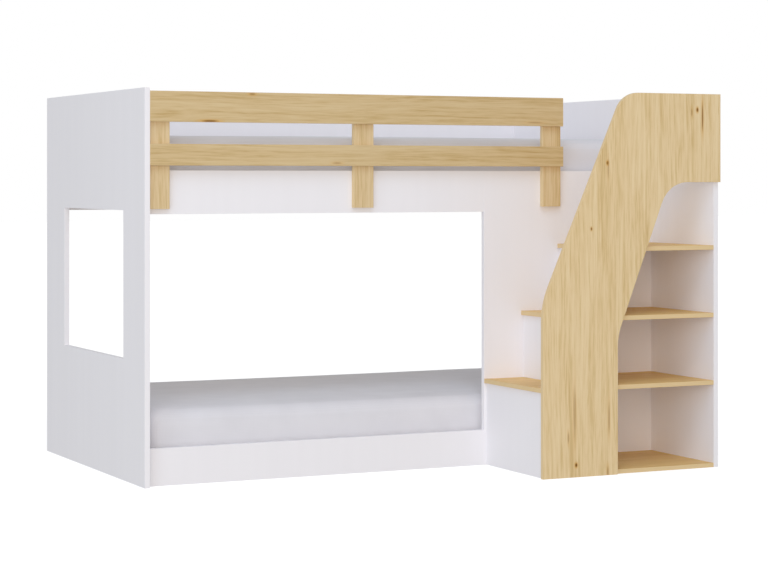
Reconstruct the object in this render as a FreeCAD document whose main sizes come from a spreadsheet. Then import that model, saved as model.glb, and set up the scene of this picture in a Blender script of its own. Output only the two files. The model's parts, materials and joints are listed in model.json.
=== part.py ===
"""Low bunk bed with a storage staircase, as a parametric document.

Millimetres, +Z up, +X along the bed towards the stairs, +Y from the stairs towards the wall.
The origin is on the floor, under the middle of the whole bed.
"""
import FreeCAD
import Part
import Sketcher
import math
import os
from types import SimpleNamespace

TREAD_COUNT = 3
SLAT_COUNT = 12
PIN_SIDES = 12  # small round pins and their bores are drawn with flats, because there are many

SIZES = (
    # Bed frame
    ("bed_length", 1961, "outer faces of the two end panels"),
    ("bed_depth", 1070, "front edge to back edge of an end panel"),
    ("end_panel_thickness", 18, "end panels and the stair's right panel"),
    ("front_board_thickness", 18, "front rails and the panel behind the stairs"),
    ("rear_board_thickness", 18, "rear guard panel and lower rear rail"),
    ("edge_ease", 0.6, "broken edge of every board"),
    ("upper_rail_bottom", 881, "floor to the underside of the upper rails"),
    ("upper_rail_height", 142, "upper front rail"),
    ("guard_rise", 257, "top of the upper front rail to the top of the guard rail"),
    ("end_panel_rise", 10, "top of the guard rail to the top of an end panel"),
    ("lower_rail_height", 122, "lower front and rear rails"),
    ("window_width", 645, "window in the left end panel, centred in its depth"),
    ("window_sill", 402, "floor to the window's lower edge"),
    ("window_height", 490, "window's lower edge to its upper edge"),
    # Guard rail
    ("access_width", 389, "free end of the guard rail to the right end panel"),
    ("guard_plank_thickness", 18, "both planks"),
    ("upper_plank_height", 100, "upper guard plank"),
    ("plank_gap", 71, "between the two guard planks"),
    ("lower_plank_height", 70.5, "lower guard plank"),
    ("guard_post_thickness", 18, "posts behind the planks"),
    ("guard_post_width", 74, "posts along the bed"),
    ("post_tail", 140.5, "underside of the lower plank to the foot of a post"),
    ("post_top_drop", 10, "top of the upper plank to the top of a post"),
    ("plank_round", 2, "rounded edge of planks and posts"),
    # Staircase
    ("stair_width", 705, "left edge of the stair side panel to the bed's right face"),
    ("stair_depth", 396, "front of the bed's boards to the front edge of the treads"),
    ("stair_side_thickness", 15, "shaped panel that closes the stair's front"),
    ("stair_top_drop", 3, "top of an end panel to the top of the stair panels"),
    ("tread_thickness", 15, "treads and bottom board"),
    ("riser_thickness", 15, "risers"),
    ("first_step_height", 300, "floor to the top of the first tread"),
    ("last_step_up", 257, "top of the last tread to the top of the front boards"),
    ("step_going", 147, "nose to nose, along the bed"),
    ("nose_setback", 1, "stair side panel's left edge to the first nose"),
    ("nose_overhang", 9, "nose of a tread to the riser under it"),
    ("foot_width", 290.5, "stair side panel at the floor"),
    ("outer_bend_height", 581, "floor to the bend in the panel's left edge"),
    ("inner_bend_height", 467, "floor to the bend in the panel's right edge"),
    ("top_edge_length", 390.7, "panel's top edge, to its corner before rounding"),
    ("landing_edge_length", 211, "panel's under edge, to its corner before rounding"),
    ("landing_board_height", 303, "panel's under edge to its top edge"),
    ("outer_bend_radius", 300, "bend in the left edge"),
    ("inner_bend_radius", 180, "bend in the right edge"),
    ("top_corner_radius", 90, "rounded shoulder at the top left"),
    ("under_corner_radius", 110, "curve over the shelves"),
    # Slatted bases
    ("ledger_height", 30, "strips that carry the slats"),
    ("ledger_width", 30, "strips that carry the slats"),
    ("upper_ledger_rise", 29, "underside of the upper rails to the upper strips"),
    ("lower_ledger_rise", 18, "floor to the lower strips"),
    ("slat_width", 70, "along the bed"),
    ("slat_thickness", 18, "slats"),
    ("slat_end_clearance", 2, "slat end to the board beside it"),
    # Mattresses
    ("mattress_thickness", 175, "at the edge of the top"),
    ("mattress_crown", 8, "rise of the top from its edge to its middle"),
    ("mattress_draw", 3, "how far the long sides pull in at the middle"),
    ("mattress_round", 34, "rounded edges of the pad"),
    ("mattress_end_clearance", 10, "pad to an end panel"),
    ("mattress_side_clearance", 4, "pad to the front and rear boards"),
    ("mattress_seat_gap", 0.3, "pad to the slats"),
    # Fasteners
    ("dowel_radius", 4, "wooden dowels"),
    ("dowel_in_face", 11, "dowel or cam bolt in the face of a panel"),
    ("dowel_in_edge", 19, "dowel in the edge of a board"),
    ("bore_clearance", 0.15, "round each pin, and past its end"),
    ("cam_radius", 7.5, "cam lock"),
    ("cam_depth", 12.5, "cam lock, let into the inner face of a board"),
    ("cam_setback", 34, "end of a board to the middle of its cam"),
    ("cam_margin", 13.5, "edge of a board to its outermost cam"),
    ("cam_bolt_radius", 3, "bolt that the cam draws tight"),
    ("guard_bolt_radius", 3, "bolts of the guard rail"),
    ("guard_bolt_grip", 12, "bolt in the last board that it reaches"),
    ("bolt_head_radius", 6, "flat round head"),
    ("bolt_head_height", 3, "flat round head"),
    ("joint_inset", 60, "edge of a tread to the dowels in it"),
)

doc = FreeCAD.newDocument("bunk_bed")
sheet = doc.addObject("Spreadsheet::Sheet", "Sizes")
for row, (alias, number, meaning) in enumerate(SIZES, start=1):
    sheet.set(f"A{row}", meaning)
    sheet.set(f"B{row}", str(number))
    sheet.setAlias(f"B{row}", alias)
doc.recompute()


class Length:
    """A size as a formula in the sheet's names, together with its value in millimetres."""

    def __init__(self, formula, value):
        self.formula = formula
        self.value = value

    @classmethod
    def of(cls, number):
        return number if isinstance(number, cls) else cls(repr(number), float(number))

    def joined(self, sign, other, value):
        return Length(f"({self.formula} {sign} {other.formula})", value)

    def __add__(self, other):
        other = Length.of(other)
        return self.joined("+", other, self.value + other.value)

    def __sub__(self, other):
        other = Length.of(other)
        return self.joined("-", other, self.value - other.value)

    def __mul__(self, other):
        other = Length.of(other)
        return self.joined("*", other, self.value * other.value)

    def __truediv__(self, other):
        other = Length.of(other)
        return self.joined("/", other, self.value / other.value)


size = SimpleNamespace(**{alias: Length(f"Sizes.{alias}", float(sheet.get(alias))) for alias, _, _ in SIZES})
FLOOR = Length.of(0)

# Places along the bed
left_outer = FLOOR - size.bed_length / 2
left_inner = left_outer + size.end_panel_thickness
right_outer = size.bed_length / 2
right_inner = right_outer - size.end_panel_thickness
inner_length = right_inner - left_inner
stair_left = right_outer - size.stair_width
guard_end = right_inner - size.access_width

# Places from front to back: the guard rail stands in front of the boards, level with the end panels
recess = size.guard_plank_thickness + size.guard_post_thickness
projection = size.stair_depth + size.stair_side_thickness - recess
end_front = (projection - size.bed_depth) / 2
end_back = end_front + size.bed_depth
post_front = end_front + size.guard_plank_thickness
front_face = end_front + recess
front_inner = front_face + size.front_board_thickness
rear_inner = end_back - size.rear_board_thickness
stair_front = front_face - size.stair_depth

# Heights
upper_rail_top = size.upper_rail_bottom + size.upper_rail_height
guard_top = upper_rail_top + size.guard_rise
bed_top = guard_top + size.end_panel_rise
stair_top = bed_top - size.stair_top_drop
upper_plank_bottom = guard_top - size.upper_plank_height
lower_plank_top = upper_plank_bottom - size.plank_gap
lower_plank_bottom = lower_plank_top - size.lower_plank_height
step_rise = (upper_rail_top - size.last_step_up - size.first_step_height) / (TREAD_COUNT - 1)
upper_ledger_bottom = size.upper_rail_bottom + size.upper_ledger_rise

AXES = ("x", "y", "z")
TURNS = {
    "+X": FreeCAD.Rotation(FreeCAD.Vector(0, 1, 0), 90),
    "-X": FreeCAD.Rotation(FreeCAD.Vector(0, 1, 0), -90),
    "+Y": FreeCAD.Rotation(FreeCAD.Vector(1, 0, 0), -90),
    "-Y": FreeCAD.Rotation(FreeCAD.Vector(1, 0, 0), 90),
}
OPPOSITE = {"+X": "-X", "-X": "+X", "+Y": "-Y", "-Y": "+Y"}

boards = {}
holes = {}
groups = {}


def bind(thing, prop, length):
    thing.setExpression(prop, Length.of(length).formula)


def place(thing, at, turn=None):
    """Put a piece at a point, turned from +Z to the named direction."""
    if turn:
        thing.Placement = FreeCAD.Placement(FreeCAD.Vector(), TURNS[turn])
    for axis, length in zip(AXES, at):
        bind(thing, f"Placement.Base.{axis}", length)


def shifted(at, direction, distance):
    """The point that lies a distance from another along a named direction."""
    index = "XYZ".index(direction[1])
    moved = list(at)
    moved[index] = at[index] + distance if direction[0] == "+" else at[index] - distance
    return tuple(moved)


def new_body(label, at):
    body = doc.addObject("PartDesign::Body", label)
    body.Label = label
    place(body, at)
    boards[label] = body
    return body


def origin_plane(body, role):
    return next(plane for plane in body.Origin.OriginFeatures if plane.Role == role)


def break_edges(body, base, faces=()):
    """Chamfer the edges of the named faces, or every edge of the base."""
    edges = body.newObject("PartDesign::Chamfer", f"{body.Label}_edges")
    edges.Base = (base, list(faces))
    edges.UseAllEdges = not faces
    bind(edges, "Size", size.edge_ease)


def round_long_edges(body, base):
    """Round the four edges that run the length of a plank."""
    longest = max(edge.Length for edge in base.Shape.Edges)
    names = [
        f"Edge{number}"
        for number, edge in enumerate(base.Shape.Edges, start=1)
        if math.isclose(edge.Length, longest)
    ]
    edges = body.newObject("PartDesign::Fillet", f"{body.Label}_edges")
    edges.Base = (base, names)
    bind(edges, "Radius", size.plank_round)


def board(label, along, across, upright, rounded=False):
    """A sawn board between two places on each axis, with its edges broken or rounded."""
    body = new_body(label, (along[0], across[0], upright[0]))
    slab = body.newObject("PartDesign::AdditiveBox", f"{label}_slab")
    for prop, (low, high) in zip(("Length", "Width", "Height"), (along, across, upright)):
        bind(slab, prop, high - low)
    doc.recompute()
    if rounded:
        round_long_edges(body, slab)
    else:
        break_edges(body, slab)


def broad_faces(feature):
    """Names of a panel's two largest faces."""
    by_area = sorted(enumerate(feature.Shape.Faces, start=1), key=lambda item: -item[1].Area)
    return [f"Face{number}" for number, _ in by_area[:2]]


def outline(sketch, corners, dimensions):
    """A closed outline of straight edges through the corners, held by dimensions from the origin.

    Each dimension is a corner's number, "x" or "y" and the length. A corner that has no
    dimension on an axis stays level or plumb with the one before it.
    """
    first = sketch.GeometryCount
    points = [FreeCAD.Vector(across.value, up.value, 0) for across, up in corners]
    for number, point in enumerate(points):
        following = points[(number + 1) % len(points)]
        sketch.addGeometry(Part.LineSegment(point, following), False)
    for number in range(len(points)):
        following = first + (number + 1) % len(points)
        sketch.addConstraint(Sketcher.Constraint("Coincident", first + number, 2, following, 1))
    for number, axis, length in dimensions:
        kind = "DistanceX" if axis == "x" else "DistanceY"
        index = sketch.addConstraint(Sketcher.Constraint(kind, -1, 1, first + number, 1, length.value))
        bind(sketch, f"Constraints[{index}]", length)
    for number, point in enumerate(points):
        previous = points[number - 1]
        line = first + (number - 1) % len(points)
        if math.isclose(previous.x, point.x):
            sketch.addConstraint(Sketcher.Constraint("Vertical", line))
        elif math.isclose(previous.y, point.y):
            sketch.addConstraint(Sketcher.Constraint("Horizontal", line))


def new_sketch(body, role):
    sketch = body.newObject("Sketcher::SketchObject", f"{body.Label}_sketch")
    sketch.AttachmentSupport = (origin_plane(body, role), [""])
    sketch.MapMode = "FlatFace"
    return sketch


def pad(body, sketch, thickness):
    feature = body.newObject("PartDesign::Pad", f"{body.Label}_pad")
    feature.Profile = sketch
    bind(feature, "Length", thickness)
    doc.recompute()
    return feature


def pin_to_origin(sketch, line):
    sketch.addConstraint(Sketcher.Constraint("Coincident", line, 1, -1, 1))


def windowed_end_panel(label):
    """End panel with a rectangular window, drawn from the side and padded through its thickness."""
    body = new_body(label, (left_outer, end_front, FLOOR))
    sketch = new_sketch(body, "YZ_Plane")
    outline(
        sketch,
        [(FLOOR, FLOOR), (size.bed_depth, FLOOR), (size.bed_depth, bed_top), (FLOOR, bed_top)],
        [(2, "x", size.bed_depth), (2, "y", bed_top)],
    )
    pin_to_origin(sketch, 0)
    front = (size.bed_depth - size.window_width) / 2
    back = front + size.window_width
    sill = size.window_sill
    head = sill + size.window_height
    outline(
        sketch,
        [(front, sill), (back, sill), (back, head), (front, head)],
        [(0, "x", front), (0, "y", sill), (2, "x", back), (2, "y", head)],
    )
    panel = pad(body, sketch, size.end_panel_thickness)
    break_edges(body, panel, broad_faces(panel))


def upright_edge(feature, across, up):
    """Name of the edge that runs through the panel's thickness at a corner of its outline."""
    for number, edge in enumerate(feature.Shape.Edges, start=1):
        ends = [vertex.Point for vertex in edge.Vertexes]
        if all(math.hypot(end.x - across.value, end.z - up.value) < size.edge_ease.value for end in ends):
            return f"Edge{number}"
    raise ValueError(f"no corner at {across.value}, {up.value}")


def shaped_side_panel(label):
    """Stair side panel: a foot, a slanting band and a board beside the landing, in one piece."""
    body = new_body(label, (stair_left, stair_front, FLOOR))
    sketch = new_sketch(body, "XZ_Plane")
    under_edge = stair_top - size.landing_board_height
    inner_bend = (size.foot_width, size.inner_bend_height)
    under_corner = (size.stair_width - size.landing_edge_length, under_edge)
    top_corner = (size.stair_width - size.top_edge_length, stair_top)
    outer_bend = (FLOOR, size.outer_bend_height)
    outline(
        sketch,
        [
            (FLOOR, FLOOR),
            (size.foot_width, FLOOR),
            inner_bend,
            under_corner,
            (size.stair_width, under_edge),
            (size.stair_width, stair_top),
            top_corner,
            outer_bend,
        ],
        [
            (2, "x", size.foot_width),
            (2, "y", size.inner_bend_height),
            (3, "x", under_corner[0]),
            (3, "y", under_edge),
            (5, "x", size.stair_width),
            (5, "y", stair_top),
            (6, "x", top_corner[0]),
            (7, "y", size.outer_bend_height),
        ],
    )
    pin_to_origin(sketch, 0)
    shape = pad(body, sketch, size.stair_side_thickness)
    for corner, radius in (
        (inner_bend, size.inner_bend_radius),
        (under_corner, size.under_corner_radius),
        (top_corner, size.top_corner_radius),
        (outer_bend, size.outer_bend_radius),
    ):
        bend = body.newObject("PartDesign::Fillet", f"{label}_bend")
        bend.Base = (shape, [upright_edge(shape, *corner)])
        bind(bend, "Radius", radius)
        doc.recompute()
        shape = bend
    break_edges(body, shape, broad_faces(shape))


def inner_edge_of_side_panel(height):
    """Where the stair side panel's right edge lies at a height, on its plain or slanting stretch."""
    foot = stair_left + size.foot_width
    if height.value <= size.inner_bend_height.value:
        return foot
    run = right_outer - size.landing_edge_length - foot
    climb = stair_top - size.landing_board_height - size.inner_bend_height
    return foot + run * (height - size.inner_bend_height) / climb


def peg(name, radius, length, at, direction):
    """A pin from a point along a named direction."""
    rod = doc.addObject("Part::Prism", name)
    rod.Polygon = PIN_SIDES
    bind(rod, "Circumradius", radius)
    bind(rod, "Height", length)
    place(rod, at, direction)
    return rod


def drill(label, radius, length, at, direction):
    """A hole in a board, from a point along a named direction, a little larger than its pin."""
    clear = size.bore_clearance
    cutter = peg(f"{label}_hole", radius + clear, length + clear, at, direction)
    holes.setdefault(label, []).append(cutter)


def dowel(at, direction, face_board, edge_board):
    """A dowel across a joint: short in the face of one board, long in the edge of the other."""
    back = OPPOSITE[direction]
    length = size.dowel_in_face + size.dowel_in_edge
    rod = peg("dowel", size.dowel_radius, length, shifted(at, back, size.dowel_in_face), direction)
    groups.setdefault("dowels", []).append(rod)
    drill(face_board, size.dowel_radius, size.dowel_in_face, at, back)
    drill(edge_board, size.dowel_radius, size.dowel_in_edge, at, direction)


def cam_joint(at, direction, face_board, edge_board, inner_face, outward):
    """A cam lock in the inner face of a board, and the bolt in the end panel that it draws tight."""
    back = OPPOSITE[direction]
    inward = OPPOSITE[outward]
    reach = size.dowel_in_face + size.cam_setback
    start = shifted(at, back, size.dowel_in_face)
    groups.setdefault("cam_bolts", []).append(peg("cam_bolt", size.cam_bolt_radius, reach, start, direction))
    middle = shifted(at, direction, size.cam_setback)
    seat = (middle[0], inner_face, middle[2])
    clear = size.bore_clearance
    disc = peg("cam_disc", size.cam_radius, size.cam_depth, seat, outward)
    place(disc, shifted(seat, inward, size.cam_depth))
    socket = peg("cam_socket", size.cam_bolt_radius + clear, size.cam_setback + clear, at, direction)
    cam = doc.addObject("Part::Cut", "cam_lock")
    cam.Base = disc
    cam.Tool = socket
    groups.setdefault("cam_locks", []).append(cam)
    drill(face_board, size.cam_bolt_radius, size.dowel_in_face, at, back)
    drill(edge_board, size.cam_bolt_radius, size.cam_setback, at, direction)
    drill(edge_board, size.cam_radius, size.cam_depth, seat, inward)


def guard_bolt(at, thickness, near_board, far_board, sunk):
    """A bolt towards the front, through one board of the guard rail and into the next."""
    head_at = shifted(at, "-Y", size.bolt_head_height) if sunk else at
    head = peg("bolt_head", size.bolt_head_radius, size.bolt_head_height, head_at, "+Y")
    shank_length = head_at[1] - at[1] + thickness + size.guard_bolt_grip
    shank = peg("bolt_shank", size.guard_bolt_radius, shank_length, head_at, "-Y")
    bolt = doc.addObject("Part::Fuse", "guard_bolt")
    bolt.Base = head
    bolt.Tool = shank
    groups.setdefault("guard_bolts", []).append(bolt)
    if sunk:
        drill(near_board, size.bolt_head_radius, size.bolt_head_height, at, "-Y")
    drill(near_board, size.guard_bolt_radius, thickness, at, "-Y")
    drill(far_board, size.guard_bolt_radius, size.guard_bolt_grip, shifted(at, "-Y", thickness), "-Y")


def end_panels_and_rails():
    windowed_end_panel("left_end_panel")
    board("right_end_panel", (right_inner, right_outer), (end_front, end_back), (FLOOR, bed_top))
    front = (front_face, front_inner)
    rear = (rear_inner, end_back)
    opening = (left_inner, stair_left)
    whole = (left_inner, right_inner)
    board("upper_front_rail", opening, front, (size.upper_rail_bottom, upper_rail_top))
    board("lower_front_rail", opening, front, (FLOOR, size.lower_rail_height))
    board("front_stair_panel", (stair_left, right_inner), front, (FLOOR, upper_rail_top))
    board("rear_guard_panel", whole, rear, (size.upper_rail_bottom, guard_top))
    board("lower_rear_rail", whole, rear, (FLOOR, size.lower_rail_height))


def slatted_base(level, ledger_bottom):
    """Two strips along the boards and the row of slats that lies on them."""
    ledger_top = ledger_bottom + size.ledger_height
    strip = (ledger_bottom, ledger_top)
    whole = (left_inner, right_inner)
    board(f"{level}_front_ledger", whole, (front_inner, front_inner + size.ledger_width), strip)
    board(f"{level}_rear_ledger", whole, (rear_inner - size.ledger_width, rear_inner), strip)
    pitch = inner_length / SLAT_COUNT
    across = (front_inner + size.slat_end_clearance, rear_inner - size.slat_end_clearance)
    upright = (ledger_top, ledger_top + size.slat_thickness)
    for number in range(SLAT_COUNT):
        start = left_inner + pitch * (number + 0.5) - size.slat_width / 2
        board(f"{level}_slat_{number + 1:02d}", (start, start + size.slat_width), across, upright)
    return upright[1]


def guard_rail():
    """Two planks in front of three posts, bolted through from the bed's inner side."""
    planks = {
        "upper_guard_plank": (upper_plank_bottom, guard_top),
        "lower_guard_plank": (lower_plank_bottom, lower_plank_top),
    }
    run = (left_inner, guard_end)
    for label, upright in planks.items():
        board(label, run, (end_front, post_front), upright, rounded=True)
    half_width = size.guard_post_width / 2
    middles = {
        "left_guard_post": left_inner + half_width,
        "middle_guard_post": (left_inner + guard_end) / 2,
        "right_guard_post": guard_end - half_width,
    }
    upright = (lower_plank_bottom - size.post_tail, guard_top - size.post_top_drop)
    for post, middle in middles.items():
        along = (middle - half_width, middle + half_width)
        board(post, along, (post_front, front_face), upright, rounded=True)
        for plank, (bottom, top) in planks.items():
            at = (middle, front_face, (bottom + top) / 2)
            guard_bolt(at, size.guard_post_thickness, post, plank, sunk=False)
        carrier = "upper_front_rail" if middle.value < stair_left.value else "front_stair_panel"
        ledger_top = upper_ledger_bottom + size.ledger_height
        at = (middle, front_inner, (ledger_top + upper_rail_top) / 2)
        guard_bolt(at, size.front_board_thickness, carrier, post, sunk=True)


def staircase():
    """Treads that run on as shelves, their risers, and the panels that close the stair."""
    shaped_side_panel("stair_side_panel")
    depth = (stair_front, front_face)
    board("stair_right_panel", (right_inner, right_outer), (stair_front, end_front), (FLOOR, stair_top))
    below = FLOOR
    for number in range(TREAD_COUNT):
        top = size.first_step_height + step_rise * number
        nose = stair_left + size.nose_setback + size.step_going * number
        riser = nose + size.nose_overhang
        riser_back = riser + size.riser_thickness
        underside = top - size.tread_thickness
        board(f"riser_{number + 1}", (riser, riser_back), depth, (below, underside))
        board(f"tread_{number + 1}", (nose, right_inner), depth, (underside, top))
        tread_joints(f"tread_{number + 1}", nose, underside)
        if number == 0:
            board("bottom_board", (riser_back, right_inner), depth, (FLOOR, size.tread_thickness))
            tread_joints("bottom_board", riser_back, FLOOR)
        below = top


def tread_joints(label, nose, underside):
    """Dowels from a tread into the stair's right panel and into the shaped side panel."""
    middle = underside + size.tread_thickness / 2
    for across in (stair_front + size.joint_inset, end_front - size.joint_inset):
        dowel((right_inner, across, middle), "-X", "stair_right_panel", label)
    along = (nose + inner_edge_of_side_panel(middle)) / 2
    dowel((along, stair_front, middle), "+Y", "stair_side_panel", label)


def board_joints():
    """Cam locks and dowels that hold the rails and the stair's back panel to the end panels."""
    front_middle = (front_face + front_inner) / 2
    rear_middle = (rear_inner + end_back) / 2
    low_cam = size.lower_rail_height - size.cam_margin * 2
    upper_cams = (size.upper_rail_bottom + size.cam_margin, upper_rail_top - size.cam_margin * 2)
    guard_cams = (size.upper_rail_bottom + size.cam_margin, guard_top - size.cam_margin * 2)
    low_dowel = size.lower_ledger_rise + size.ledger_height / 2
    upper_middle = (size.upper_rail_bottom + upper_rail_top) / 2
    guard_middle = (size.upper_rail_bottom + guard_top) / 2
    stair_middle = (low_cam + upper_cams[1]) / 2
    left = ("left_end_panel", left_inner, "+X")
    right = ("right_end_panel", right_inner, "-X")
    front = (front_middle, front_inner, "+Y")
    rear = (rear_middle, rear_inner, "-Y")
    stair_cams = (low_cam, stair_middle, upper_cams[1])
    for label, ends, row, cams, pins in (
        ("upper_front_rail", (left,), front, upper_cams, (upper_middle,)),
        ("lower_front_rail", (left,), front, (low_cam,), (low_dowel,)),
        ("front_stair_panel", (right,), front, stair_cams, (low_dowel, upper_middle)),
        ("rear_guard_panel", (left, right), rear, guard_cams, (guard_middle,)),
        ("lower_rear_rail", (left, right), rear, (low_cam,), (low_dowel,)),
    ):
        across, inner_face, outward = row
        for end_panel, along, direction in ends:
            for height in cams:
                cam_joint((along, across, height), direction, end_panel, label, inner_face, outward)
            for height in pins:
                dowel((along, across, height), direction, end_panel, label)
    for rail, heights in (
        ("upper_front_rail", upper_cams),
        ("lower_front_rail", (low_dowel, low_cam)),
    ):
        for height in heights:
            dowel((stair_left, front_middle, height), "-X", "front_stair_panel", rail)


def mattress_section(along, inset, draw, crown):
    """A closed cross-section of the pad: flat bottom, rounded edges and a crowned top."""
    half = (rear_inner - front_inner).value / 2 - size.mattress_side_clearance.value - inset - draw
    low = inset
    high = size.mattress_thickness.value - inset
    radius = size.mattress_round.value / 2
    slant = radius * math.sin(math.radians(45))

    def point(across, up):
        return FreeCAD.Vector(along, across, up)

    def corner(side, flat, bulge):
        inner = point(side * (half - radius), flat)
        bend = point(side * (half - radius + slant), flat + bulge * (radius - slant))
        outer = point(side * half, flat + bulge * radius)
        return inner, bend, outer

    right_low = corner(1, low, 1)
    right_high = corner(1, high, -1)
    left_high = corner(-1, high, -1)
    left_low = corner(-1, low, 1)
    curves = [
        Part.LineSegment(left_low[0], right_low[0]),
        Part.Arc(*right_low),
        Part.LineSegment(right_low[2], right_high[2]),
        Part.Arc(*reversed(right_high)),
        Part.Arc(right_high[0], point(0, high + crown), left_high[0]),
        Part.Arc(*left_high),
        Part.LineSegment(left_high[2], left_low[2]),
        Part.Arc(*reversed(left_low)),
    ]
    return Part.Wire([curve.toShape() for curve in curves])


def mattress(label, seat):
    """A foam pad: a loft with rounded ends, a crowned top and long sides that draw in."""
    half_length = inner_length.value / 2 - size.mattress_end_clearance.value
    radius = size.mattress_round.value
    crown = size.mattress_crown.value
    stations = []
    for degrees in (0, 30, 60, 90):
        turn = math.radians(degrees)
        along = half_length - radius * (1 - math.cos(turn))
        stations.append((along, radius * (1 - math.sin(turn))))
    sections = [mattress_section(-along, inset, 0, crown / 2) for along, inset in stations]
    sections.append(mattress_section(0, 0, size.mattress_draw.value, crown))
    sections += [mattress_section(along, inset, 0, crown / 2) for along, inset in reversed(stations)]
    foam = doc.addObject("Part::Feature", label)
    foam.Label = label
    foam.Shape = Part.makeLoft(sections, True, True)
    across = (front_inner + rear_inner) / 2
    place(foam, ((left_inner + right_inner) / 2, across, seat + size.mattress_seat_gap))
    boards[label] = foam


end_panels_and_rails()
upper_seat = slatted_base("upper", upper_ledger_bottom)
lower_seat = slatted_base("lower", size.lower_ledger_rise)
guard_rail()
staircase()
board_joints()
mattress("upper_mattress", upper_seat)
mattress("lower_mattress", lower_seat)

nodes = {}
for label, blank in boards.items():
    if label in holes:
        cutters = doc.addObject("Part::Compound", f"{label}_holes")
        cutters.Links = holes[label]
        blank.Label = f"{label}_blank"
        drilled = doc.addObject("Part::Cut", f"{label}_drilled")
        drilled.Base = blank
        drilled.Tool = cutters
        drilled.Label = label
        nodes[label] = drilled
    else:
        nodes[label] = blank
for label, members in groups.items():
    group = doc.addObject("Part::Compound", label)
    group.Links = members
    group.Label = label
    nodes[label] = group
doc.recompute()

for thing in doc.Objects:
    if "Invalid" in thing.State or "Error" in thing.State:
        raise RuntimeError(f"{thing.Label} failed: {thing.State}")
for label, node in nodes.items():
    if node.Shape.isNull() or not node.Shape.isValid():
        raise RuntimeError(f"{label} has no valid shape")
    if label in holes and node.Shape.Volume >= boards[label].Shape.Volume:
        raise RuntimeError(f"the holes in {label} cut nothing")

os.makedirs("parts", exist_ok=True)
for label, node in nodes.items():
    node.Shape.exportStep(f"parts/{label}.step")
print(len(nodes), "nodes written")
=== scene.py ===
"""Looks of a bunk bed with stairs: board finishes, slats, fixings, mattresses and a plain studio."""

import json
import math

import bmesh
import bpy
from bpy.props import FloatProperty, FloatVectorProperty, IntProperty, PointerProperty
from mathutils import Matrix, Vector


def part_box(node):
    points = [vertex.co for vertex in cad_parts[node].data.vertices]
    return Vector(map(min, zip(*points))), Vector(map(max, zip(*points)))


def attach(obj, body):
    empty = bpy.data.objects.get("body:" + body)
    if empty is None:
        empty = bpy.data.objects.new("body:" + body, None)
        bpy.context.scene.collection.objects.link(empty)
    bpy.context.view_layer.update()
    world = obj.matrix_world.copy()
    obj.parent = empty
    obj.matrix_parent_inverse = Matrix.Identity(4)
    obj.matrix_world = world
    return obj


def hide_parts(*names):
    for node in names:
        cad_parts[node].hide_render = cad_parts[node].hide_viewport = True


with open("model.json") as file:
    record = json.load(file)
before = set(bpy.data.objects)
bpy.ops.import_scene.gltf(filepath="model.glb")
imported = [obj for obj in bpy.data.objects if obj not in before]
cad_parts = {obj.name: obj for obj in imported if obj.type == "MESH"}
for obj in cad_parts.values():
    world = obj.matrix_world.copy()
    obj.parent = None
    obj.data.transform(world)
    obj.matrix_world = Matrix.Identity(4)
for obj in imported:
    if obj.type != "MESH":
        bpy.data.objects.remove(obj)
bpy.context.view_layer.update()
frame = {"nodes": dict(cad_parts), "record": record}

bl_info = {
    "name": "Bunk bed with stairs",
    "version": (1, 0, 0),
    "blender": (4, 5, 0),
    "location": "View3D > Sidebar > Bunk bed",
    "description": "Board finishes, slats, fixings, mattresses and a plain studio for a bunk bed with stairs",
    "category": "Object",
}

BED_FRAME = "bed_frame"
MATTRESSES = ("upper_mattress", "lower_mattress")
SLOT_OF = {part["node"]: part["material_slot"] for part in frame["record"]["subparts"]}
AXES = "XYZ"

# Knots and dark streaks of the decor, in metres: where they are along X and Z, half their width
# across the grain and half their length along it. The last figure is how dark they are, up to 1.
STAIR_PANEL_KNOTS = (
    (0.885, 1.232, 0.0034, 0.0065, 0.90),
    (0.862, 1.223, 0.0028, 0.012, 0.40),
    (0.906, 1.208, 0.0028, 0.042, 0.70),
    (0.525, 1.049, 0.0034, 0.0055, 1.00),
    (0.528, 1.032, 0.0026, 0.030, 0.35),
    (0.462, 0.828, 0.0026, 0.0045, 0.85),
    (0.403, 0.041, 0.0038, 0.006, 1.00),
    (0.373, 0.133, 0.0028, 0.016, 0.38),
    (0.397, 0.215, 0.0046, 0.075, 0.30),
    (0.531, 0.192, 0.0028, 0.045, 0.42),
    (0.526, 0.012, 0.0030, 0.016, 0.45),
)
PLANK_KNOTS = (
    (-0.608, 1.274, 0.0036, 0.010, 0.45),
    (-0.756, 1.184, 0.0034, 0.024, 0.75),
    (-0.302, 1.048, 0.0030, 0.014, 0.35),
    (0.460, 1.192, 0.0030, 0.026, 0.30),
)

# A knot fades out at this many times its half sizes, and pushes the grain aside by a share of that reach.
KNOT_REACH = 4.0
KNOT_SWERVE = -0.7
# From its rim, 0, to its middle, 1: where the warmer wood and the dark heart of a knot set in and are full.
HALO_RANGE = (0.12, 0.5)
HEART_RANGE = (0.42, 0.7)

# Oak materials: name, grain direction, direction across it on the broad face, knots, shade and boards.
# The shade multiplies the oak tones. On the posts, planks and treads it is painted shade: darker, and on the
# treads warmer, for the shade that these parts stand in.
OAK_BOARDS = (
    ("oak_decor_stair_panel", "Z", "X", STAIR_PANEL_KNOTS, "panel_shade", ("stair_side_panel",)),
    ("oak_decor_posts", "Z", "X", (), "post_painted_shade",
     ("left_guard_post", "middle_guard_post", "right_guard_post")),
    ("oak_decor_planks", "X", "Z", PLANK_KNOTS, "plank_painted_shade", ("upper_guard_plank", "lower_guard_plank")),
    ("oak_decor_treads", "X", "Y", (), "tread_painted_shade", ("tread_1", "tread_2", "tread_3", "bottom_board")),
)

# How much longer than broad these patterns are: white streaks, the oak's sways and the pine's rings.
WHITE_STRETCH = 30
SWAY_STRETCH = 6
PINE_STRETCH = 14

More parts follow.
